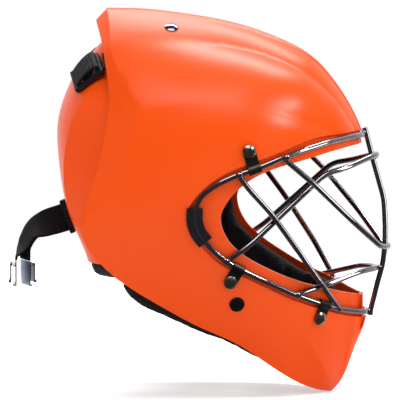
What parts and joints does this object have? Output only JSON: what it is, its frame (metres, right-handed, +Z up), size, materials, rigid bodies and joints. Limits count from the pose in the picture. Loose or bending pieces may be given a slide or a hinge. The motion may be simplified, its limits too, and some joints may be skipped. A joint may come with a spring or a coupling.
{
  "type": "field hockey goalkeeper helmet",
  "caption": "Full-head goalkeeper helmet: faceted moulded shell with chin guard, round-wire face cage, hinged back plate, foam lining, webbing straps and throat guard clasps.",
  "frame": {"origin": "middle of the wearer's head at ear height", "axes": "+X towards the face, +Y to the wearer's left, +Z up"},
  "size_m": [0.3318, 0.2186, 0.33],
  "materials": {
    "shell_orange": "satin moulded shell",
    "cage_wire": "black chrome on round steel wire",
    "clip_steel": "blackened sheet steel",
    "screw_steel": "blackened steel",
    "cap_black": "black lacquered stud",
    "rivet_chrome": "bright plated rivet",
    "sleeve_rubber": "soft black sleeve",
    "foam_black": "cloth-faced foam",
    "neck_foam": "cloth-faced foam",
    "webbing_black": "woven webbing",
    "cup_plastic": "moulded cup",
    "buckle_plastic": "moulded nylon",
    "clasp_metal": "nickel plated sheet"
  },
  "bodies": {
    "shell": {"front_shell": "shell_orange", "cage_ring": "cage_wire", "centre_bar": "cage_wire", "crossing_bar": "cage_wire", "upper_loop": "cage_wire", "lower_loop": "cage_wire", "side_bars": "cage_wire", "cage_clips": "clip_steel", "clip_screws": "screw_steel", "clip_nuts": "screw_steel", "cheek_studs": "cap_black", "crown_rivets": "rivet_chrome", "rivet_washers": "screw_steel", "stud_washers": "screw_steel", "ring_sleeves": "sleeve_rubber", "jaw_pad_left": "foam_black", "jaw_pad_right": "foam_black", "temple_pad_left": "foam_black", "temple_pad_right": "foam_black", "crown_pad": "foam_black", "forehead_pad": "foam_black", "chin_strap_left": "webbing_black", "chin_strap_right": "webbing_black", "chin_cup": "cup_plastic", "upper_strap_left": "webbing_black", "upper_strap_right": "webbing_black"},
    "plate": {"back_plate": "shell_orange", "back_pad": "foam_black", "neck_pad": "neck_foam", "buckle_left": "buckle_plastic", "buckle_right": "buckle_plastic", "strap_anchor_bar": "screw_steel", "lower_strap": "webbing_black", "strap_keeper": "buckle_plastic"},
    "tail": {"strap_tail_rear": "webbing_black", "strap_tail_front": "webbing_black"},
    "rear_clasp": {"clasp_frame_rear": "clasp_metal"},
    "rear_lever": {"clasp_lever_rear": "clasp_metal"},
    "front_clasp": {"clasp_frame_front": "clasp_metal"},
    "front_lever": {"clasp_lever_front": "clasp_metal"}
  },
  "joints": [
    {"name": "back_plate_tilt", "type": "hinge", "parent": "shell", "child": "plate", "pos_m": [-0.0815, 0, 0.1088], "axis": [0, 1, 0], "range_deg": [0, 10]},
    {"name": "strap_swing", "type": "hinge", "parent": "plate", "child": "tail", "pos_m": [-0.1188, 0, -0.02926], "axis": [-0.3311, 0, 0.9436], "range_deg": [-60, 60]},
    {"name": "rear_clasp_swing", "type": "hinge", "parent": "tail", "child": "rear_clasp", "pos_m": [-0.15921, 0, -0.06579], "axis": [-0.1005, 0.9949, 0], "range_deg": [-5, 45]},
    {"name": "rear_clasp_lever", "type": "hinge", "parent": "rear_clasp", "child": "rear_lever", "pos_m": [-0.16369, -0.00045, -0.06909], "axis": [-0.1005, 0.9949, 0], "range_deg": [0, 90]},
    {"name": "front_clasp_swing", "type": "hinge", "parent": "tail", "child": "front_clasp", "pos_m": [-0.15167, 0, -0.06579], "axis": [0.4392, -0.8984, 0], "range_deg": [-5, 45]},
    {"name": "front_clasp_lever", "type": "hinge", "parent": "front_clasp", "child": "front_lever", "pos_m": [-0.14763, 0.00198, -0.06909], "axis": [0.4392, -0.8984, 0], "range_deg": [0, 90]}
  ]
}
